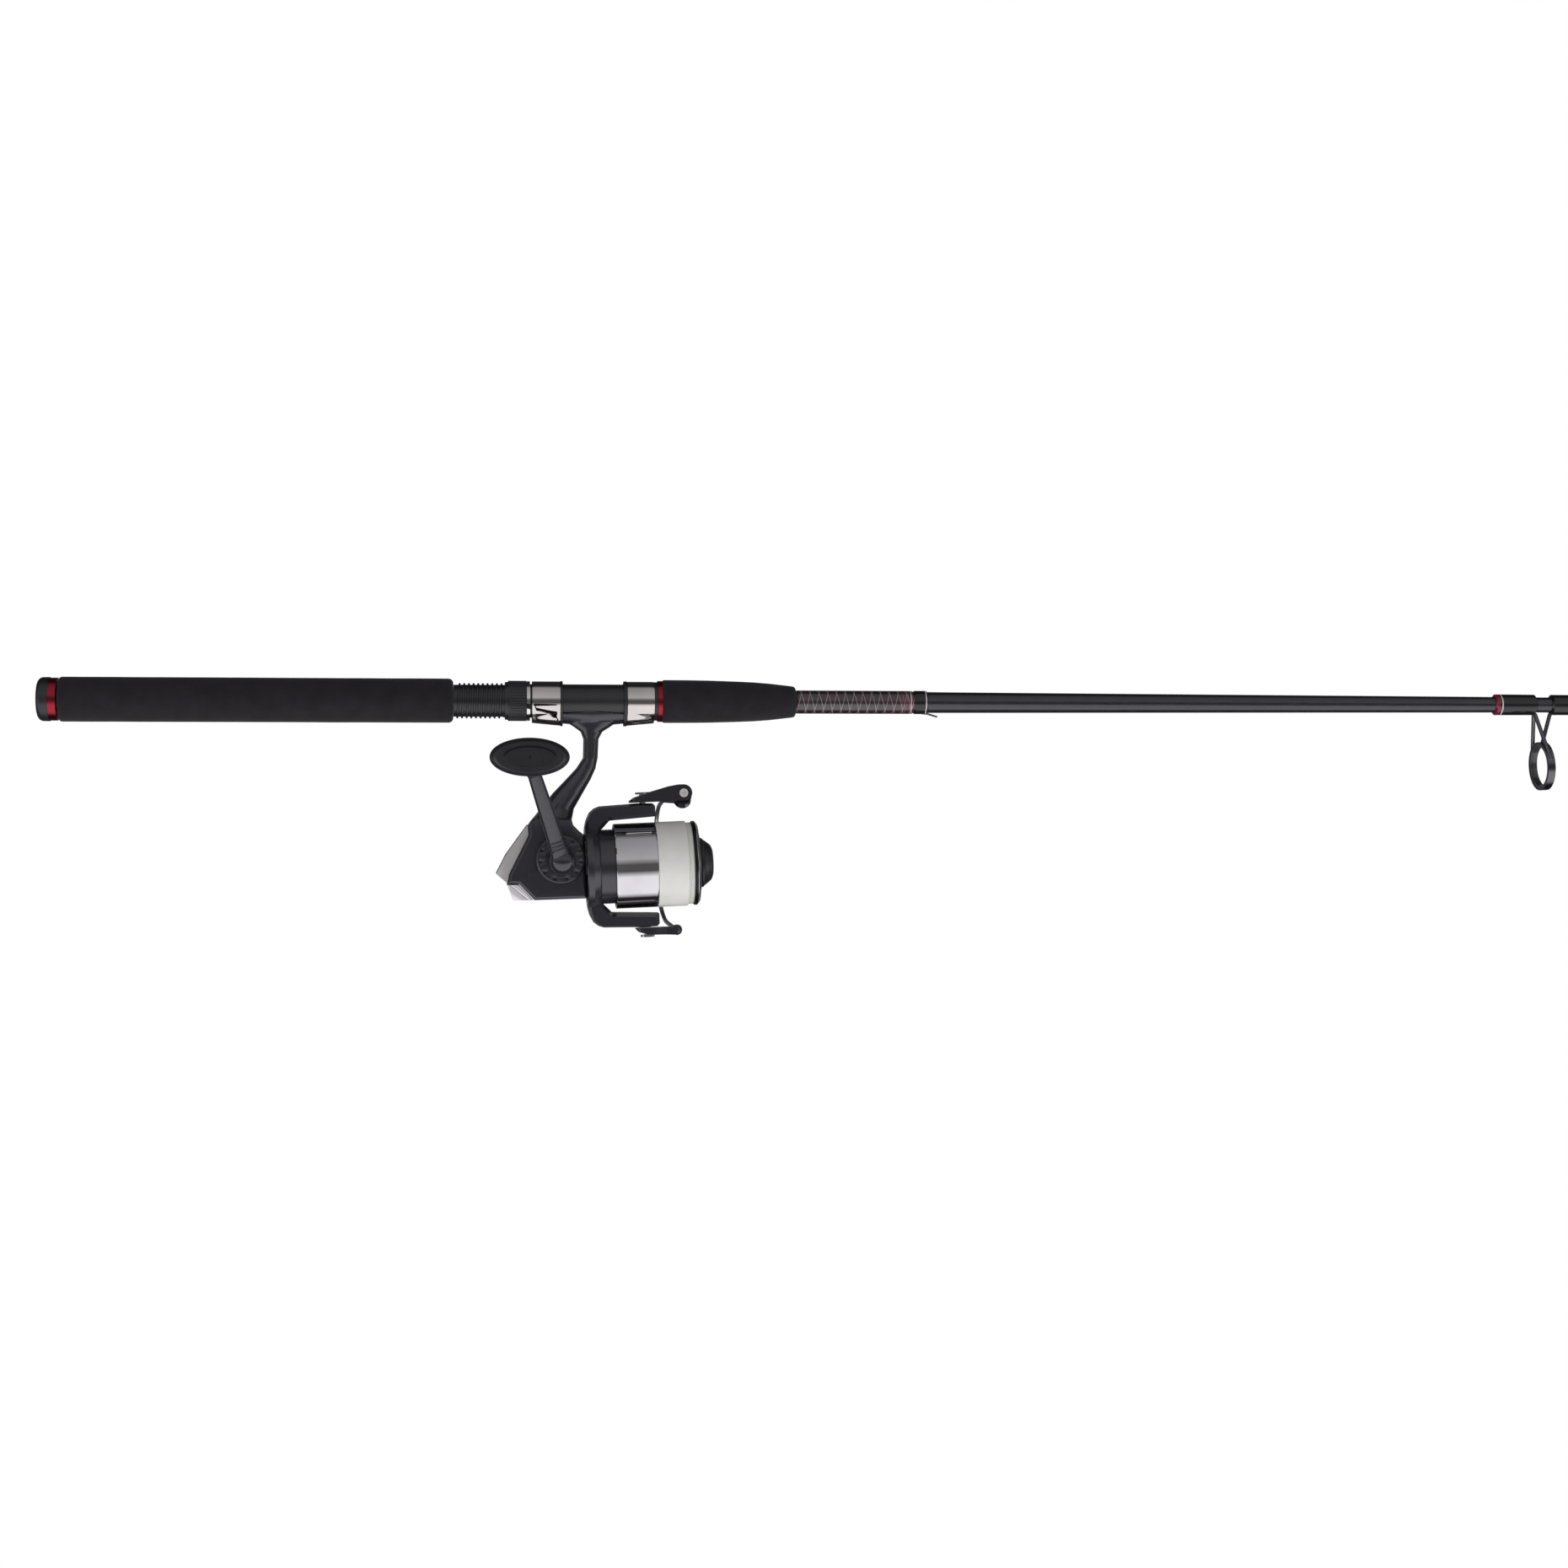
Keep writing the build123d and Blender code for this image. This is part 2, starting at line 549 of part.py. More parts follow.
def make_line_roller():
    points = (
        (-3.7, 1.85), (-3.7, 5.7), (-2.6, 5.7), (-0.8, 4.5), (1.0, 4.5), (2.8, 5.7), (3.7, 5.7), (3.7, 1.85),
    )
    face = make_face(Polyline(*[(r, 0, z) for z, r in points], close=True))
    return REEL * roller_place() * revolve(face, Axis.Z)


def make_roller_screw():
    place = roller_place()
    pin = Location((0, 0, -5.0)) * Cylinder(1.8, 10.2, align=RISE)
    head = disc_y(ROLLER_AT[0], 46.2, -10.0, -8.7, 2.8)
    head -= Location((ROLLER_AT[0], -10.0, 46.2), (90, 0, 0)) * cross_recess(3.4, 1.4)
    cone = Location((0, 0, 4.0)) * Cone(4.4, 2.2, 5.0, align=RISE)
    return REEL * (place * (pin + cone) + head) - make_bail_wire()


def make_bail_wire():
    corners = [(80.0, 8.6, 40.4), (70.5, 20.0, 41.5), (67.5, 59.3, 34.0), (67.5, 59.3, -37.0), (74.5, 3.0, -43.2)]
    path = FilletPolyline(*corners, radius=[9.0, 32.0, 32.0])
    end = path @ 0
    section = Plane(origin=end, z_dir=path % 0) * Circle(1.4)
    return REEL * sweep(section, path=path)


def make_bail_lever():
    """The bail's other end: a round base on its pivot, and a short arm with a ball for the wire."""
    outline = (
        (47.3, -41.0), (49.6, -43.4), (56.0, -45.2), (68.0, -46.0), (75.4, -46.6), (75.4, -41.2), (60.0, -41.0),
    )
    side = slab(outline, -8.4, 8.4)
    blade = (
        (BAIL_PIVOT, -8.2), (61.0, -6.6), (68.0, -2.2), (75.4, -1.0), (75.4, 5.6), (68.0, 5.4), (61.0, 6.6),
        (BAIL_PIVOT, 8.2),
    )
    plan = extrude(make_face(Polyline(*[(x, y, -48) for x, y in blade], close=True)), amount=10)
    plan += Location((BAIL_PIVOT, 0, -48)) * Cylinder(8.2, 10, align=RISE)
    lever = (side & plan) + Location((75.0, 2.4, -43.4)) * Sphere(3.5)
    lever -= Location((BAIL_PIVOT, 0, 0)) * Cylinder(2.02, 200)
    lever -= Location((BAIL_PIVOT, 0, -60)) * Cylinder(4.9, 14.5, align=RISE)
    return REEL * lever - make_bail_wire()


def make_bail_screws():
    """The two pivot screws, fixed in the rotor's arms."""
    screws = Part()
    for side, head in ((1, 46.3), (-1, 45.6)):
        low, high = sorted((side * 34.0, side * head))
        screws += Location((BAIL_PIVOT, 0, low)) * Cylinder(1.95, high - low, align=RISE)
        cap = side * head if side > 0 else side * head - 1.3
        top = cap + 1.3 if side > 0 else cap
        screws += Location((BAIL_PIVOT, 0, cap)) * Cylinder(4.6, 1.3, align=RISE)
        screws -= Location((BAIL_PIVOT, 0, top)) * cross_recess(5.0, 1.4)
    return REEL * screws


# ---- Main shaft, spool and drag ----
def make_main_shaft():
    return REEL * tube(-24.2, 95.0, SHAFT_R, 0)


def make_slider():
    """The block on the shaft's rear end, with the slot that the crosswind gear's pin works in."""
    block = slab([(-24.0, -6.0), (-18.0, -6.0), (-18.0, 6.0), (-22.0, 6.0), (-24.0, 4.0)], -3.0, 4.5)
    slot = Location((-21.0, 3.6, 0)) * Box(3.9, 2.0, 9.8)
    return REEL * (block - slot - tube(-30, 0, SHAFT_R + 0.005, 0))


def make_spool():
    return REEL * turned(
        (SKIRT_REAR + 0.6, 25.4), (SKIRT_REAR + 0.6, 26.9), (LINE_REAR - 0.6, 26.9), (LINE_REAR - 0.6, 26.8),
        (LINE_REAR, 26.8), (LINE_REAR, 17.0), (LINE_FRONT, 17.0), (LINE_FRONT, 24.9), (LINE_FRONT + 1.6, 24.9),
        (91.4, 18.6), (91.4, 16.2), (75.0, 16.2), (75.0, SHAFT_R + 0.05), (58.6, SHAFT_R + 0.05), (58.6, 8.5),
        (72.0, 8.5), (72.0, 15.0), (60.5, 15.0), (60.5, 25.4),
    )


def make_spool_band():
    return REEL * turned(
        (SKIRT_REAR, 26.0), (SKIRT_REAR, 27.5), (SKIRT_REAR + 0.5, SKIRT_R), (LINE_REAR - 0.5, SKIRT_R),
        (LINE_REAR, 27.5), (LINE_REAR, 26.82), (LINE_REAR - 0.6, 26.82), (LINE_REAR - 0.6, 26.92),
        (SKIRT_REAR + 0.58, 26.92), (SKIRT_REAR + 0.58, 26.0),
    )


def make_spool_lip():
    return REEL * turned(
        (LINE_FRONT, 24.92), (LINE_FRONT, 26.9), (LINE_FRONT + 0.6, 27.5), (LIP_FRONT - 1.6, 27.5),
        (LIP_FRONT, 25.6), (LIP_FRONT, 21.2), (LINE_FRONT + 1.7, 25.4), (LINE_FRONT + 1.65, 24.92),
    )


def make_drag_washers():
    stack = Part()
    for index in range(5):
        start = 75.1 + index * 2.1
        stack += tube(start, start + 1.8, 15.8, SHAFT_R + 0.35)
    return REEL * stack


def make_drag_knob():
    """The front drag knob, with two finger recesses that leave a grip bar across its face."""
    knob = turned(
        (91.8, SHAFT_R + 0.05), (91.8, 15.6), (92.2, 16.1), (93.2, 16.1), (93.9, 15.2), (96.4, 13.4),
        (98.6, 11.6), (99.5, 9.8), (99.9, 8.6), (99.9, 0), (95.4, 0), (95.4, SHAFT_R + 0.05),
    )
    recess = tube(97.4, 101, 8.2, 0) - Location((99, 0, 0)) * Box(6, 4.2, 20)
    return REEL * (knob - recess)


def make_lock_nut():
    """The knurled nut that pushes the sliding hood onto the reel foot."""
    body = turned(
        (157.4, SLEEVE_BORE_R), (157.4, 12.2), (159.5, 12.4), (159.5, 13.1), (171.3, 13.1),
        (171.3, SLEEVE_BORE_R),
    )
    count = 46
    flute_centre = 13.35
    for index in range(count):
        turn = 2 * math.pi * index / count
        place = Location((165.4, flute_centre * math.cos(turn), flute_centre * math.sin(turn)), (0, 90, 0))
        body -= place * Cylinder(0.5, 10.6)
    return body


def make_far_cap():
    cap = disc_y(CRANK_X, CRANK_Z, BODY_BACK + 0.05, BODY_BACK + 4.0, 12.0)
    return chamfer(cap.faces().sort_by(Axis.Y)[-1].edges(), 1.4)


def main():
    nodes = {
        "blank_butt": make_blank_butt(),
        "butt_cap": make_butt_cap(),
        "butt_ring": tube(BUTT_RING_REAR + 0.05, BUTT_RING_FRONT, 13.7, 7.25),
        "rear_grip": make_rear_grip(),
        "seat_thread": make_seat_thread(),
        "reel_seat": make_reel_seat(),
        "front_hood": hood(FRONT_HOOD_MOUTH + 2.2, FRONT_HOOD_END),
        "front_hood_rim": hood(FRONT_HOOD_MOUTH, FRONT_HOOD_MOUTH + 2.15, 0.25),
        "front_collar": tube(FRONT_HOOD_END + 0.1, FORE_RING_REAR - 0.05, 12.6, 11.75),
        "fore_grip_ring": tube(FORE_RING_REAR, BARREL_FRONT, 13.4, 11.75),
        "fore_grip": make_fore_grip(),
        "diamond_wrap": wrap(FORE_GRIP_END + 0.1, WRAP_END, 0.62),
        "keeper_wrap": wrap(WRAP_END + 0.05, KEEPER_WRAP_END, 0.75) - make_hook_keeper(),
        "hook_keeper": make_hook_keeper(),
        "sliding_hood": hood(HOOD_REAR, HOOD_MOUTH - 1.65),
        "sliding_hood_rim": hood(HOOD_MOUTH - 1.6, HOOD_MOUTH, 0.25),
        "lock_nut": make_lock_nut(),
        "lock_nut_ring": tube(171.5, 173.6, 12.9, SLEEVE_BORE_R),
        "reel_body": make_reel_body(),
        "side_cover": make_side_cover(),
        "body_screws": make_body_screws(),
        "rear_trim": slab(REAR_TRIM, -14.2, 13.4),
        "lower_trim": make_lower_trim(),
        "bearing_cap": make_bearing_cap(),
        "far_cap": make_far_cap(),
        "drive_gear": make_drive_gear(),
        "crosswind_gear": make_crosswind_gear(),
        "handle_arm": make_handle_arm(),
        "knob_pin": make_knob_pin(),
        "rotor": make_rotor(),
        "pinion_gear": make_pinion(),
        "rotor_nut": make_rotor_nut(),
        "bail_arm": make_bail_arm(),
        "bail_lever": make_bail_lever(),
        "bail_wire": make_bail_wire(),
        "bail_screws": make_bail_screws(),
        "roller_screw": make_roller_screw(),
        "line_roller": make_line_roller(),
        "main_shaft": make_main_shaft(),
        "slider": make_slider(),
        "spool": make_spool(),
        "spool_band": make_spool_band(),
        "spool_lip": make_spool_lip(),
        "line": REEL * tube(LINE_REAR + 0.05, LINE_FRONT - 0.05, 26.7, 17.02),
        "line_label": REEL * tube(LINE_REAR + 0.3, 82.4, 27.8, 26.72),
        "drag_washers": make_drag_washers(),
        "drag_knob": make_drag_knob(),
    }
    nodes["crank_bearings"], nodes["rotor_bearing"] = make_bearings()
    nodes["handle_knob"], nodes["knob_cap"] = make_knob()
    first_guide = guide(GUIDE_X, 13.15, 16.5, 41.8, 27.5)
    nodes["guide_1_frame"], nodes["guide_1_ring"], nodes["guide_1_wraps"] = first_guide
    tip = make_tip_section()
    tip_names = (
        "blank_tip", "ferrule_wrap", "tip_guide_frames", "tip_guide_rings", "tip_guide_wraps", "tip_top",
    )
    nodes.update(zip(tip_names, tip))

    os.makedirs("parts", exist_ok=True)
    for name, shape in nodes.items():
        export_step(shape, f"parts/{name}.step")
        print(name, round(shape.volume, 1))


main()
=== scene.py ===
"""Spinning rod and reel: materials, detailed pieces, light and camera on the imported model.

Metres, +X to the tip and +Z up, unless a comment says millimetres."""
import math

import bmesh
import bpy
from mathutils import Matrix, Vector, noise


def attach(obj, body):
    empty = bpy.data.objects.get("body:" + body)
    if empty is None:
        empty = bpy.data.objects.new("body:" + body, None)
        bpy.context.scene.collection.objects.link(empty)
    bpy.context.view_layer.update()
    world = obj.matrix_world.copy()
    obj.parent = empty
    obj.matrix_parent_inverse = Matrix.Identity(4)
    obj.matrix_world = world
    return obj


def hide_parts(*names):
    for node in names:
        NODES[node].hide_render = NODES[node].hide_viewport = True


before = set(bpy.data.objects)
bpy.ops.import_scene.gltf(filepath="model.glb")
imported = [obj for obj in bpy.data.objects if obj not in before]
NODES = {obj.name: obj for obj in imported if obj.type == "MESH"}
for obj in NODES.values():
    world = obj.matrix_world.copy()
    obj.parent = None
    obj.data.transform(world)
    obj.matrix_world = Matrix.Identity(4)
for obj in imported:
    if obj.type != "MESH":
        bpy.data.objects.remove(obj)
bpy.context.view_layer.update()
MM = 0.001

# ---- Places shared with the CAD model ----
REEL_ORIGIN = Vector((0.193, 0.0, -0.1092))
REEL_TILT = math.radians(2.3)
REEL = Matrix.Translation(REEL_ORIGIN) @ Matrix.Rotation(-REEL_TILT, 4, "Y")
# The rest of these are millimetres.
THREAD_PITCH = 3.0
THREAD_ROOT = 10.4
THREAD_REAR = 124.3
THREAD_FRONT = 158.0
BLANK_BORE = 7.25
HOOD_TOP = 12.8
HOOD_BORE = 11.75
FOOT_MIDDLE = 214.6
FOOT_HALF = 36.0


# ---- Materials ----
class Shader:
    """One procedural material, built up node by node."""

    def __init__(self, name, colour, roughness, metallic=0.0, coat=0.0, coat_roughness=0.05, specular=0.5):
        self.material = bpy.data.materials.new(name)
        self.material.use_nodes = True
        self.tree = self.material.node_tree
        self.surface = self.tree.nodes["Principled BSDF"]
        self.set("Base Color", (*colour, 1.0))
        self.set("Roughness", roughness)
        self.set("Metallic", metallic)
        self.set("Coat Weight", coat)
        self.set("Coat Roughness", coat_roughness)
        self.set("IOR", 1.5)
        self.set("Specular IOR Level", specular)
        self.place = self.node("ShaderNodeTexCoord").outputs["Object"]
        self.material.diffuse_color = (*colour, 1.0)

    def set(self, socket, value):
        self.surface.inputs[socket].default_value = value

    def node(self, kind, **values):
        made = self.tree.nodes.new(kind)
        for key, value in values.items():
            setattr(made, key, value)
        return made

    def link(self, source, target):
        self.tree.links.new(source, target)

    def math(self, operation, first, second=None, third=None):
        made = self.node("ShaderNodeMath", operation=operation)
        for socket, value in zip(made.inputs, (first, second, third)):
            if value is None:
                continue
            if isinstance(value, (int, float)):
                socket.default_value = value
            else:
                self.link(value, socket)
        return made.outputs[0]

    def noise(self, scale, detail=3.0, stretch=(1, 1, 1), rough=0.5):
        spread = self.node("ShaderNodeMapping")
        spread.inputs["Scale"].default_value = stretch
        self.link(self.place, spread.inputs["Vector"])
        made = self.node("ShaderNodeTexNoise")
        made.inputs["Scale"].default_value = scale
        made.inputs["Detail"].default_value = detail
        made.inputs["Roughness"].default_value = rough
        self.link(spread.outputs[0], made.inputs["Vector"])
        return made.outputs["Fac"]

    def ramp(self, value, low, high, start=0.0, end=1.0):
        """A colour from low to high as value goes from start to end."""
        made = self.node("ShaderNodeValToRGB")
        made.color_ramp.elements[0].position = start
        made.color_ramp.elements[0].color = (*low, 1.0)
        made.color_ramp.elements[1].position = end
        made.color_ramp.elements[1].color = (*high, 1.0)
        self.link(value, made.inputs[0])
        return made.outputs[0]

    def mix(self, factor, low, high):
        made = self.node("ShaderNodeMix", data_type="RGBA")
        for socket, value in ((made.inputs[0], factor), (made.inputs[6], low), (made.inputs[7], high)):
            if isinstance(value, tuple):
                socket.default_value = (*value, 1.0)
            else:
                self.link(value, socket)
        return made.outputs[2]

    def vary(self, socket, value, low, high):
        """Drives a scalar socket between two levels by a 0 to 1 value."""
        spread = self.node("ShaderNodeMapRange")
        spread.inputs["To Min"].default_value = low
        spread.inputs["To Max"].default_value = high
        self.link(value, spread.inputs["Value"])
        self.link(spread.outputs[0], self.surface.inputs[socket])

    def bump(self, height, depth, strength=1.0):
        made = self.node("ShaderNodeBump")
        made.inputs["Strength"].default_value = strength
        made.inputs["Distance"].default_value = depth
        self.link(height, made.inputs["Height"])
        self.link(made.outputs[0], self.surface.inputs["Normal"])
        return made.outputs[0]

    def around_axis(self):
        """The distance along the rod and the angle about it, in turns."""
        parts = self.node("ShaderNodeSeparateXYZ")
        self.link(self.place, parts.inputs[0])
        angle = self.math("ARCTAN2", parts.outputs[1], parts.outputs[2])
        return parts.outputs[0], self.math("DIVIDE", angle, 2 * math.pi)


def foam():
    m = Shader("eva_foam", (0.011, 0.009, 0.012), 0.82, specular=0.25)
    grain = m.noise(2600, 4, rough=0.65)
    cloud = m.noise(90, 3)
    shade = m.ramp(cloud, (0.0068, 0.0056, 0.0080), (0.0145, 0.0118, 0.0165), 0.3, 0.7)
    m.link(shade, m.surface.inputs["Base Color"])
    m.vary("Roughness", grain, 0.72, 0.92)
    m.bump(grain, 0.12 * MM, 0.6)
    m.set("Sheen Weight", 0.10)
    m.set("Sheen Roughness", 0.6)
    return m.material


def gloss_black(name="blank_gloss", colour=(0.010, 0.009, 0.011)):
    m = Shader(name, colour, 0.32, coat=0.8, coat_roughness=0.06, specular=0.35)
    fibre = m.noise(900, 3, (0.15, 1, 1))
    m.link(m.ramp(fibre, colour, tuple(2.2 * c for c in colour), 0.35, 0.75), m.surface.inputs["Base Color"])
    m.vary("Roughness", fibre, 0.28, 0.42)
    m.bump(fibre, 0.01 * MM, 0.3)
    return m.material


def anodised(name, colour, roughness=0.26):
    m = Shader(name, colour, roughness, metallic=1.0)
    grain = m.noise(1500, 2, (8, 0.6, 0.6))
    m.vary("Roughness", grain, roughness - 0.06, roughness + 0.1)
    m.link(m.ramp(grain, tuple(0.85 * c for c in colour), colour, 0.3, 0.7), m.surface.inputs["Base Color"])
    m.bump(grain, 0.008 * MM, 0.4)
    return m.material


def plated(name, colour, roughness):
    """Polished plating with faint haze and fine handling marks."""
    m = Shader(name, colour, roughness, metallic=1.0)
    haze = m.noise(60, 4)
    fine = m.noise(2200, 2)
    m.vary("Roughness", haze, roughness * 0.7, roughness * 1.5)
    m.link(m.ramp(haze, tuple(0.9 * c for c in colour), colour, 0.35, 0.65), m.surface.inputs["Base Color"])
    m.bump(fine, 0.004 * MM, 0.25)
    return m.material


def painted(name, colour, roughness=0.36, coat=0.5, flake=1.25):
    """Metallic paint on a casting: soft orange peel, small flakes and a clear coat."""
    m = Shader(name, colour, roughness, metallic=0.25, coat=coat, coat_roughness=0.16)
    peel = m.noise(420, 3)
    flakes = m.noise(5200, 1)
    bright = tuple(flake * c for c in colour)
    m.link(m.ramp(flakes, colour, bright, 0.4, 0.62), m.surface.inputs["Base Color"])
    m.vary("Roughness", peel, roughness - 0.05, roughness + 0.07)
    m.bump(peel, 0.02 * MM, 0.35)
    return m.material


def moulded(name, colour, roughness=0.5, grain=1400, depth=0.03):
    """Moulded plastic or rubber with a fine grain."""
    m = Shader(name, colour, roughness)
    fine = m.noise(grain, 3)
    cloud = m.noise(70, 3)
    m.link(m.ramp(cloud, tuple(0.8 * c for c in colour), tuple(1.25 * c for c in colour), 0.3, 0.7),
           m.surface.inputs["Base Color"])
    m.vary("Roughness", fine, roughness - 0.08, roughness + 0.08)
    m.bump(fine, depth * MM, 0.5)
    return m.material


def machined(name, colour, roughness):
    m = Shader(name, colour, roughness, metallic=1.0)
    rings = m.noise(700, 2, (1, 6, 6))
    m.vary("Roughness", rings, roughness - 0.08, roughness + 0.12)
    m.link(m.ramp(rings, tuple(0.8 * c for c in colour), colour, 0.3, 0.7), m.surface.inputs["Base Color"])
    m.bump(rings, 0.01 * MM, 0.4)
    return m.material


def wound(name, colour, pitch=0.28 * MM, bands=()):
    """Close turns of thread under a clear epoxy coat, with bands (from, to, colour) along the rod, and
    painted shade darkening the grooves between turns.
    """
    m = Shader(name, colour, 0.4, coat=0.8, coat_roughness=0.015, specular=0.2)
    along, _ = m.around_axis()
    ridge = m.math("SINE", m.math("MULTIPLY", along, 2 * math.pi / pitch))
    level = m.math("MULTIPLY_ADD", ridge, 0.5, 0.5)
    # Painted shade: the thread colour falls to 0.45 of itself in the low grooves between turns.
    shade = m.ramp(level, tuple(0.45 * c for c in colour), colour)
    for start, end, band in bands:
        middle, half = (start + end) / 2, (end - start) / 2
        inside = m.math("COMPARE", along, middle * MM, half * MM)
        shade = m.mix(inside, shade, band)
    m.link(shade, m.surface.inputs["Base Color"])
    m.bump(level, 0.02 * MM, 0.4)
    return m.material


def diamonds():
    """A dark maroon underwrap crossed by thin pale threads in diamonds, closing up to red at the front."""
    m = Shader("diamond_wrap", (0.04, 0.010, 0.017), 0.35, coat=1.0, coat_roughness=0.015)
    along, turn = m.around_axis()

    def crossing(pitch, count, offset):
        """The distance, in pitches, to the nearest of two sets of crossing threads."""
        waves = []
        for sense in (1, -1):
            phase = m.math("ADD", m.math("DIVIDE", along, pitch), m.math("MULTIPLY", turn, sense * count))
            waves.append(m.math("PINGPONG", m.math("ADD", phase, sense * offset), 0.5))
        return m.math("MINIMUM", waves[0], waves[1])

    main = crossing(5.85 * MM, 2, 0.25)
    second = crossing(5.85 * MM, 2, 0.19)
    close = crossing(3.0 * MM, 3, 0.1)
    pale = m.math("LESS_THAN", main, 0.013)
    red = m.math("LESS_THAN", second, 0.016)
    front = m.math("GREATER_THAN", along, 417.2 * MM)
    dense = m.math("MULTIPLY", front, m.math("LESS_THAN", close, 0.06))
    thread = m.math("SINE", m.math("MULTIPLY", along, 2 * math.pi / (0.3 * MM)))
    level = m.math("MULTIPLY_ADD", thread, 0.5, 0.5)
    under = m.ramp(m.noise(160, 3), (0.012, 0.008, 0.010), (0.040, 0.010, 0.017), 0.35, 0.65)
    colour = m.mix(m.math("MULTIPLY", level, 0.35), under, (0.008, 0.006, 0.008))
    colour = m.mix(red, colour, (0.11, 0.016, 0.030))
    colour = m.mix(dense, colour, (0.26, 0.045, 0.060))
    colour = m.mix(pale, colour, (0.60, 0.52, 0.55))
    band = m.math("COMPARE", along, 424.0 * MM, 0.28 * MM)
    colour = m.mix(band, colour, (0.62, 0.52, 0.52))
    m.link(colour, m.surface.inputs["Base Color"])
    height = m.math("MULTIPLY_ADD", m.math("MAXIMUM", pale, dense), 0.6, m.math("MULTIPLY", level, 0.2))
    m.bump(height, 0.03 * MM, 0.3)
    return m.material


def film():
    """The plain translucent band round the full spool."""
    m = Shader("plain_label_film", (0.60, 0.62, 0.57), 0.3, coat=0.3, coat_roughness=0.2)
    cloud = m.noise(45, 4)
    m.link(m.ramp(cloud, (0.82, 0.82, 0.765), (0.91, 0.915, 0.87), 0.3, 0.7), m.surface.inputs["Base Color"])
    m.vary("Roughness", cloud, 0.24, 0.4)
    m.set("Subsurface Weight", 0.25)
    m.set("Subsurface Radius", (0.002, 0.002, 0.002))
    m.bump(m.noise(700, 2, (2, 0.5, 0.5)), 0.01 * MM, 0.3)
    return m.material


def spool_lip():
    """Dark satin, with a polished edge at the front."""
    m = Shader("spool_lip", (0.02, 0.019, 0.023), 0.3, metallic=1.0)
    shift = m.node("ShaderNodeMapping", vector_type="TEXTURE")
    shift.inputs["Location"].default_value = REEL_ORIGIN
    shift.inputs["Rotation"].default_value = (0, -REEL_TILT, 0)
    m.link(m.place, shift.inputs["Vector"])
    parts = m.node("ShaderNodeSeparateXYZ")
    m.link(shift.outputs[0], parts.inputs[0])
    polished = m.math("COMPARE", parts.outputs[0], 89.2 * MM, 0.75 * MM)
    grain = m.noise(900, 3)
    dark = m.ramp(grain, (0.020, 0.019, 0.023), (0.034, 0.032, 0.038), 0.3, 0.7)
    m.link(m.mix(polished, dark, (0.8, 0.79, 0.78)), m.surface.inputs["Base Color"])
    m.vary("Roughness", polished, 0.36, 0.1)
    m.bump(grain, 0.006 * MM, 0.3)
    return m.material


def spooled_line():
    """Pale translucent line wound in close turns."""
    m = Shader("spooled_line", (0.62, 0.68, 0.56), 0.25, coat=0.4)
    fine = m.noise(1600, 2, (3, 0.4, 0.4))
    m.link(m.ramp(fine, (0.76, 0.785, 0.70), (0.91, 0.925, 0.86), 0.35, 0.65), m.surface.inputs["Base Color"])
    m.set("Subsurface Weight", 0.2)
    m.set("Subsurface Radius", (0.002, 0.002, 0.002))
    return m.material


FOAM = foam()
BLANK = gloss_black()
RED = anodised("red_anodised", (0.31, 0.026, 0.042))
HOOD_CHROME = plated("hood_chrome", (0.56, 0.53, 0.51), 0.035)
SKIRT = plated("skirt_chrome", (0.57, 0.555, 0.575), 0.03)
CHROME = plated("bright_chrome", (0.64, 0.63, 0.625), 0.06)
PAINT = painted("charcoal_paint", (0.024, 0.023, 0.031), 0.30, 0.6)
SILVER = painted("silver_paint", (0.46, 0.44, 0.44), 0.36, 0.3)
BLACK = moulded("black_plastic", (0.014, 0.0135, 0.017), 0.36)
NYLON = moulded("seat_nylon", (0.018, 0.017, 0.021), 0.33, 900, 0.02)
RUBBER = moulded("knob_rubber", (0.020, 0.019, 0.024), 0.36, 1800, 0.02)
STEEL = machined("machined_steel", (0.50, 0.49, 0.49), 0.28)
SATIN_SCREW = machined("satin_screw", (0.80, 0.79, 0.78), 0.55)
BRASS = machined("machined_brass", (0.62, 0.44, 0.18), 0.3)
ZINC = machined("cast_zinc", (0.40, 0.40, 0.41), 0.45)
DARK_METAL = plated("black_chrome", (0.13, 0.125, 0.135), 0.2)
CERAMIC = moulded("ring_ceramic", (0.055, 0.055, 0.06), 0.12, 300, 0.004)
WRAP_BLACK = (0.010, 0.008, 0.009)
WRAP_RED = (0.24, 0.010, 0.032)
WRAP_WHITE = (0.70, 0.66, 0.66)
BLACK_WRAP = wound("black_thread_wrap", WRAP_BLACK)
KEEPER_WRAP = wound("keeper_wrap_thread", WRAP_BLACK, bands=[(433.7, 434.4, WRAP_WHITE)])
GUIDE_WRAP = wound("guide_wrap_thread", WRAP_BLACK, bands=[
    (827.2, 829.8, WRAP_RED), (830.9, 831.8, WRAP_WHITE),
    (894.2, 896.8, WRAP_RED), (892.2, 893.1, WRAP_WHITE),
])
DIAMONDS = diamonds()
LINE = spooled_line()
LABEL = film()
DARK_PLATE = painted("charcoal_satin", (0.021, 0.0195, 0.027), 0.26, 0.65)
LIP = spool_lip()
TRIM = painted("bright_trim", (0.82, 0.81, 0.83), 0.3, 0.4, 1.05)
FELT = moulded("drag_felt", (0.16, 0.14, 0.12), 0.9, 2400, 0.08)

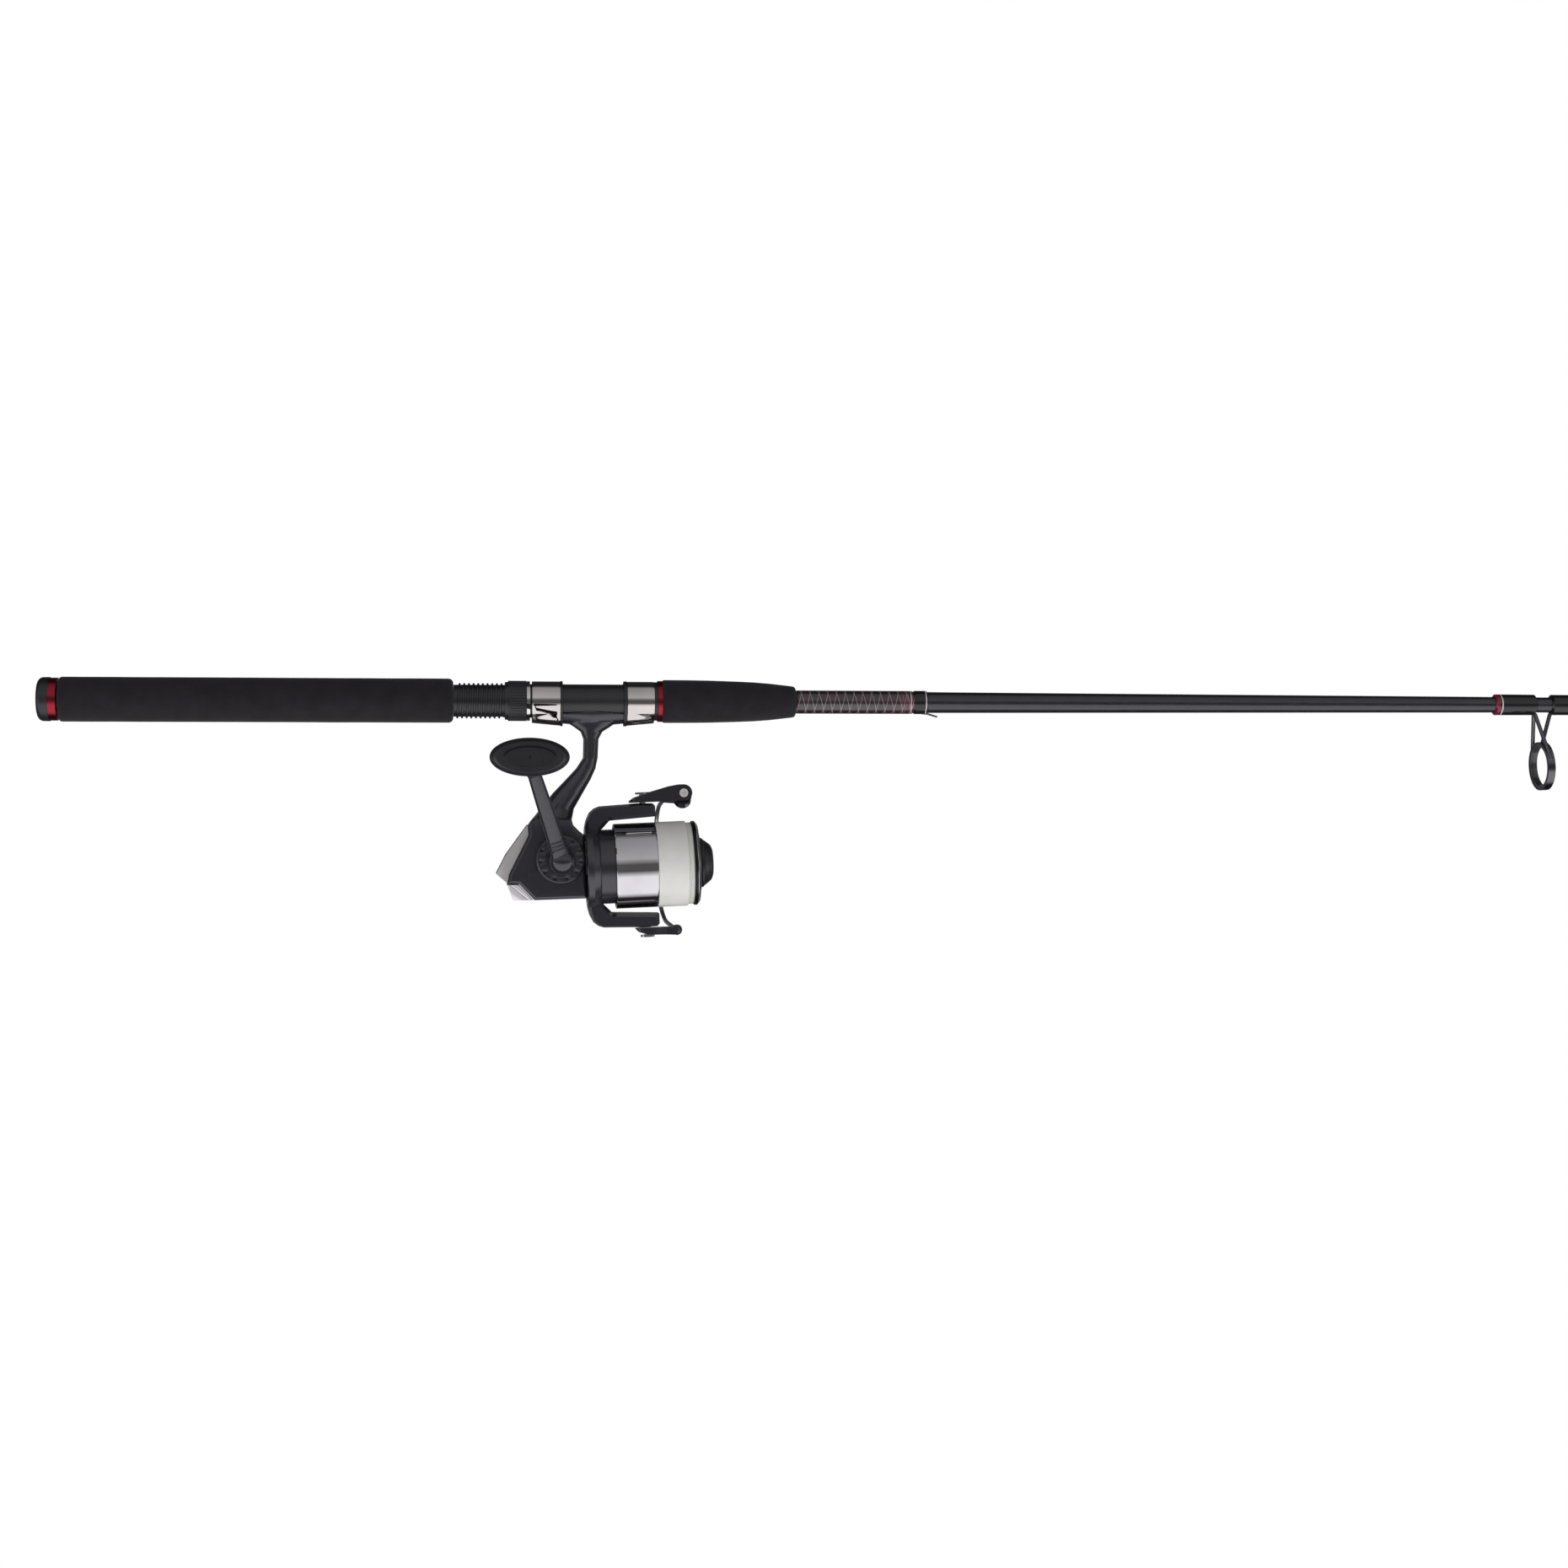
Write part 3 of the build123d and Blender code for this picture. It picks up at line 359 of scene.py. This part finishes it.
NODE_MATERIALS = {
    FOAM: ("rear_grip", "fore_grip"),
    BLANK: ("blank_butt", "blank_tip"),
    RED: ("butt_ring", "fore_grip_ring"),
    HOOD_CHROME: ("front_hood", "sliding_hood"),
    SKIRT: ("spool_band",),
    DARK_PLATE: ("handle_arm", "bail_arm", "bail_lever"),
    LIP: ("spool_lip",),
    TRIM: ("lower_trim",),
    CHROME: ("lock_nut_ring", "bail_screws"),
    SATIN_SCREW: ("roller_screw",),
    PAINT: ("reel_body", "side_cover", "bearing_cap", "far_cap", "rotor", "spool"),
    SILVER: ("rear_trim",),
    BLACK: ("butt_cap", "front_hood_rim", "front_collar", "sliding_hood_rim", "drag_knob", "knob_cap"),
    NYLON: ("seat_thread", "reel_seat", "lock_nut"),
    RUBBER: ("handle_knob",),
    STEEL: ("body_screws", "knob_pin", "bail_wire", "main_shaft", "crank_bearings", "rotor_bearing"),
    BRASS: ("pinion_gear", "rotor_nut"),
    ZINC: ("drive_gear", "crosswind_gear", "slider"),
    DARK_METAL: ("hook_keeper", "guide_1_frame", "tip_guide_frames", "tip_top", "line_roller"),
    CERAMIC: ("guide_1_ring", "tip_guide_rings"),
    BLACK_WRAP: ("ferrule_wrap", "tip_guide_wraps"),
    KEEPER_WRAP: ("keeper_wrap",),
    GUIDE_WRAP: ("guide_1_wraps",),
    DIAMONDS: ("diamond_wrap",),
    LINE: ("line",),
    LABEL: ("line_label",),
    FELT: ("drag_washers",),
}


def dress(obj, material, angle=32):
    """One material, smooth across shallow edges and crisp at sharp ones."""
    obj.data.materials.clear()
    obj.data.materials.append(material)
    for polygon in obj.data.polygons:
        polygon.use_smooth = True
    obj.data.set_sharp_from_angle(angle=math.radians(angle))


FACETED = ("bail_arm", "bail_lever", "rotor")  # their shallow edges stay crisp
for material, names in NODE_MATERIALS.items():
    for name in names:
        dress(NODES[name], material, 18 if name in FACETED else 32)


def soften(name, width, segments=2, angle=35):
    """Rounds a CAD node's sharp edges a little, as a casting or moulding has them."""
    weld = NODES[name].modifiers.new("weld", "WELD")
    weld.merge_threshold = 0.01 * MM
    bevel = NODES[name].modifiers.new("bevel", "BEVEL")
    bevel.width = width
    bevel.segments = segments
    bevel.limit_method = "ANGLE"
    bevel.angle_limit = math.radians(angle)
    bevel.harden_normals = True
    bevel.use_clamp_overlap = True


def even(name):
    """Evens out the shading where a curved skin is cut into long thin faces."""
    weld = NODES[name].modifiers.new("weld", "WELD")
    weld.merge_threshold = 0.005 * MM
    shading = NODES[name].modifiers.new("even_shading", "WEIGHTED_NORMAL")
    shading.keep_sharp = True
    shading.weight = 100


for name in ("side_cover", "bearing_cap", "far_cap", "rear_trim", "lower_trim"):
    soften(name, 0.3 * MM)
for name in ("handle_arm", "reel_body"):
    even(name)


# ---- Detailed pieces ----
def build(name, vertices, faces, material, body, replaced=(), angle=32):
    """A mesh piece in the row's frame, riding on a body and standing for CAD nodes."""
    mesh = bpy.data.meshes.new(name)
    mesh.from_pydata(vertices, [], faces)
    shape = bmesh.new()
    shape.from_mesh(mesh)
    bmesh.ops.recalc_face_normals(shape, faces=shape.faces)
    shape.to_mesh(mesh)
    shape.free()
    piece = bpy.data.objects.new(name, mesh)
    bpy.context.scene.collection.objects.link(piece)
    dress(piece, material, angle)
    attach(piece, body)
    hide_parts(*replaced)
    return piece


def lathe(profile, steps=96, place=Matrix(), swell=None):
    """Vertices and faces of a closed (along, radius) outline, in millimetres, turned about X."""
    rows = len(profile)
    vertices = []
    for step in range(steps):
        angle = 2 * math.pi * step / steps
        for along, radius in profile:
            grown = radius + (swell(along, radius, angle) if swell else 0.0)
            vertices.append(place @ (Vector((along, grown * math.sin(angle), grown * math.cos(angle))) * MM))
    faces = []
    for step in range(steps):
        here, there = step * rows, (step + 1) % steps * rows
        for row in range(rows):
            after = (row + 1) % rows
            faces.append((here + row, here + after, there + after, there + row))
    return vertices, faces


def foam_grip(name, node, outline, unevenness):
    """A foam grip with slightly uneven skin; outline is (along, radius) from back to front."""
    longest_step = 2.5

    def uneven(along, radius, angle):
        if radius < BLANK_BORE + 1:
            return 0.0
        at = Vector((along * 0.05, 2.2 * math.sin(angle), 2.2 * math.cos(angle)))
        return unevenness * (noise.noise(at) + 0.4 * noise.noise(at * 6.0) - 1.2)

    fine = [outline[0]]
    for (x0, r0), (x1, r1) in zip(outline, outline[1:]):
        parts = max(1, round(abs(x1 - x0) / longest_step))
        fine += [(x0 + (x1 - x0) * k / parts, r0 + (r1 - r0) * k / parts) for k in range(1, parts + 1)]
    profile = [*fine, (outline[-1][0], BLANK_BORE), (outline[0][0], BLANK_BORE)]
    vertices, faces = lathe(profile, 96, swell=uneven)
    piece = build(name, vertices, faces, FOAM, "rod", [node], 50)


def grips():
    foam_grip("rear_grip_foam", "rear_grip", [
        (-124.2, 13.1), (-123.95, 13.8), (-123.3, 14.25), (-122.2, 14.4), (121.4, 14.4), (122.9, 13.9),
        (123.8, 12.9), (124.2, 11.8),
    ], 0.06)
    foam_grip("fore_grip_foam", "fore_grip", [
        (259.5, 12.9), (259.8, 13.6), (260.7, 14.1), (264.0, 14.12), (275, 14.08), (290, 13.9), (300, 13.62),
        (310, 13.28), (319.5, 12.9), (330, 12.1), (340, 11.0), (345.6, 10.35), (346.8, 9.9), (347.4, 9.0),
    ], 0.05)


def seat_thread():
    """The seat's threaded tail as one true helix on its core."""
    start, end = THREAD_REAR, THREAD_FRONT
    core = [(start, 7.3), (start, THREAD_ROOT), (end, THREAD_ROOT), (end, 7.3)]
    vertices, faces = lathe(core, 72)
    steps, fade, margin = 60, 14, 1.0
    turns = (end - start - 2 * margin) / THREAD_PITCH
    count = int(turns * steps)
    section = ((-0.85, -0.2), (-0.45, 1.1), (0.45, 1.1), (0.85, -0.2))
    base = len(vertices)
    for index in range(count + 1):
        angle = 2 * math.pi * index / steps
        grow = min(1.0, index / fade, (count - index) / fade)
        along = start + margin + THREAD_PITCH * index / steps
        for shift, height in section:
            radius = THREAD_ROOT + (height if height < 0 else height * grow)
            vertices.append(Vector((along + shift, radius * math.sin(angle), radius * math.cos(angle))) * MM)
    for index in range(count):
        here, there = base + 4 * index, base + 4 * index + 4
        for row in range(4):
            after = (row + 1) % 4
            faces.append((here + row, here + after, there + after, there + row))
    faces += [tuple(base + k for k in range(4)), tuple(base + 4 * count + k for k in (3, 2, 1, 0))]
    build("seat_thread_helix", vertices, faces, NYLON, "rod", ["seat_thread"])


def hood_shell(name, node, start, end, grow, material, body):
    """A hood ring with a pouch below it for the reel's foot, and softly rounded ends."""
    outer, bore, round_off = HOOD_TOP + grow, HOOD_BORE, 0.3

    def pouch(along, radius, angle):
        near = 1 - abs(along - FOOT_MIDDLE) / FOOT_HALF
        centre = -6.2 - 1.4 * near
        outside = radius > bore + 0.2
        reach = 6.9 + 2.0 * near + (1.6 + grow if outside else 0.4)
        down = math.cos(angle) * centre
        ray = down + math.sqrt(down * down - centre * centre + reach * reach)
        if outside:
            ray -= outer - radius
        fillet = 0.8 if outside else 0.05
        share = min(1.0, max(0.0, 0.5 + 0.5 * (ray - radius) / fillet))
        return (ray - radius) * share + fillet * share * (1 - share)

    length = end - start
    between = [start + round_off + (length - 2 * round_off) * k / 8 for k in range(9)]
    profile = [(start, bore), (start, outer - round_off), (start + 0.09, outer - 0.09)]
    profile += [(along, outer) for along in between]
    profile += [(end - 0.09, outer - 0.09), (end, outer - round_off), (end, bore)]
    vertices, faces = lathe(profile, 144, swell=pouch)
    build(name, vertices, faces, material, body, [node])


def hoods():
    hood_shell("front_hood_shell", "front_hood", 236.6, 254.2, 0.0, HOOD_CHROME, "rod")
    hood_shell("front_hood_edge", "front_hood_rim", 234.4, 236.55, 0.25, BLACK, "rod")
    hood_shell("sliding_hood_shell", "sliding_hood", 174.9, 193.15, 0.0, HOOD_CHROME, "sliding_hood")
    hood_shell("sliding_hood_edge", "sliding_hood_rim", 193.2, 194.8, 0.25, BLACK, "sliding_hood")


def wound_line():
    """The line's outer layer, turn beside turn."""
    start, end, pitch = 62.7, 86.2, 0.42
    profile = []
    turns = int((end - start) / pitch)
    for index in range(turns):
        at = start + index * pitch
        for share, radius in ((0, 26.45), (0.25, 26.62), (0.5, 26.69), (0.75, 26.62)):
            profile.append((at + pitch * share, radius))
    profile += [(start + turns * pitch, 26.45), (end, 26.3), (end, 17.05), (start, 17.05)]
    vertices, faces = lathe(profile, 144, REEL)
    build("wound_line", vertices, faces, LINE, "spool", ["line"], 60)


grips()
seat_thread()
hoods()
wound_line()


# ---- Light, stage and camera ----
def panel(name, place, aim, size, power):
    light = bpy.data.lights.new(name, "AREA")
    light.shape = "RECTANGLE"
    light.size, light.size_y = size
    light.energy = power
    made = bpy.data.objects.new(name, light)
    made.location = place
    made.rotation_euler = (Vector(aim) - Vector(place)).to_track_quat("-Z", "Y").to_euler()
    bpy.context.scene.collection.objects.link(made)
    return made


WALL_WHITE = (1.0, 1.0, 1.0, 1.0)


def white_stage():
    """A pale floor well below the reel, and a pale shell all round."""
    m = bpy.data.materials.new("stage_white")
    m.use_nodes = True
    m.node_tree.nodes.clear()
    glow = m.node_tree.nodes.new("ShaderNodeEmission")
    glow.inputs["Color"].default_value = WALL_WHITE
    out = m.node_tree.nodes.new("ShaderNodeOutputMaterial")
    m.node_tree.links.new(glow.outputs[0], out.inputs[0])
    bpy.ops.mesh.primitive_plane_add(size=24, location=(0.9, 0, -0.40))
    floor = bpy.context.object
    floor.name = "stage_floor"
    bpy.ops.mesh.primitive_uv_sphere_add(radius=14, location=(0.9, 0, 0))
    shell = bpy.context.object
    shell.name = "stage_shell"
    for obj in (floor, shell):
        obj.data.materials.append(m)
        obj.visible_diffuse = False
        obj.visible_glossy = False
        obj.visible_transmission = False
        obj.visible_shadow = False


# Light round the rod: degrees from level in front of it, upwards positive, and brightness
KEY_LOW, KEY_HIGH, KEY_LEVEL = -80, -30, 1.0
FILL_LOW, FILL_HIGH, FILL_NEAR, FILL_FAR = 20, 80, 0.48, 0.30
EYE_LEVEL, BEHIND_LEVEL, BACK_LEVEL = 0.1, 0.02, 0.15
SOFT_EDGE, BACK_WIDTH = 16, 45


def surround():
    """(degrees, brightness) all round: a key box low in front, a fill box above, a weak glow behind."""
    return (
        (-180, BACK_LEVEL), (BACK_WIDTH - 180, BEHIND_LEVEL),
        (KEY_LOW - SOFT_EDGE, BEHIND_LEVEL), (KEY_LOW, KEY_LEVEL),
        (KEY_HIGH, KEY_LEVEL), (KEY_HIGH + SOFT_EDGE, EYE_LEVEL),
        (FILL_LOW - SOFT_EDGE, EYE_LEVEL), (FILL_LOW, FILL_NEAR),
        (FILL_HIGH, FILL_FAR), (FILL_HIGH + SOFT_EDGE, BEHIND_LEVEL),
        (180 - BACK_WIDTH, BEHIND_LEVEL), (180, BACK_LEVEL),
    )


def studio():
    """A surround bright from below in front, dimmer from above and dark behind, and two weak back lights."""
    world = bpy.data.worlds.new("studio")
    bpy.context.scene.world = world
    world.use_nodes = True
    nodes, links = world.node_tree.nodes, world.node_tree.links
    direction = nodes.new("ShaderNodeTexCoord").outputs["Generated"]
    parts = nodes.new("ShaderNodeSeparateXYZ")
    links.new(direction, parts.inputs[0])
    front = nodes.new("ShaderNodeMath")
    front.operation = "MULTIPLY"
    links.new(parts.outputs[1], front.inputs[0])
    front.inputs[1].default_value = -1.0
    angle = nodes.new("ShaderNodeMath")
    angle.operation = "ARCTAN2"
    links.new(parts.outputs[2], angle.inputs[0])
    links.new(front.outputs[0], angle.inputs[1])
    share = nodes.new("ShaderNodeMapRange")
    share.inputs["From Min"].default_value = -math.pi
    share.inputs["From Max"].default_value = math.pi
    links.new(angle.outputs[0], share.inputs["Value"])
    sky = nodes.new("ShaderNodeValToRGB")
    stops = sky.color_ramp.elements
    lights = surround()
    while len(stops) < len(lights):
        stops.new(0.5)
    for stop, (degrees, _) in zip(stops, lights):
        stop.position = degrees / 360 + 0.5
    for stop, (_, level) in zip(stops, lights):
        stop.color = (0.985 * level, 0.97 * level, level, 1.0)
    links.new(share.outputs[0], sky.inputs[0])
    background = nodes["Background"]
    links.new(sky.outputs[0], background.inputs["Color"])
    background.inputs["Strength"].default_value = 1.4
    for side in (-1, 1):
        back = panel("back_panel", (0.6, 2.4, side * 1.2), (0.6, 0, 0), (4.0, 1.2), 14)
        back.visible_glossy = False
    bpy.context.scene.view_settings.view_transform = "Standard"
    bpy.context.scene.view_settings.look = "None"


def photo_camera():
    lens = bpy.data.cameras.new("camera")
    lens.sensor_width = 36.0
    lens.lens = 59.03
    lens.clip_end = 60
    made = bpy.data.objects.new("camera", lens)
    made.location = (0.133, -1.680, -0.054)
    made.rotation_euler = (math.radians(90), 0, math.radians(-7.03))
    bpy.context.scene.collection.objects.link(made)
    bpy.context.scene.camera = made


white_stage()
studio()
photo_camera()
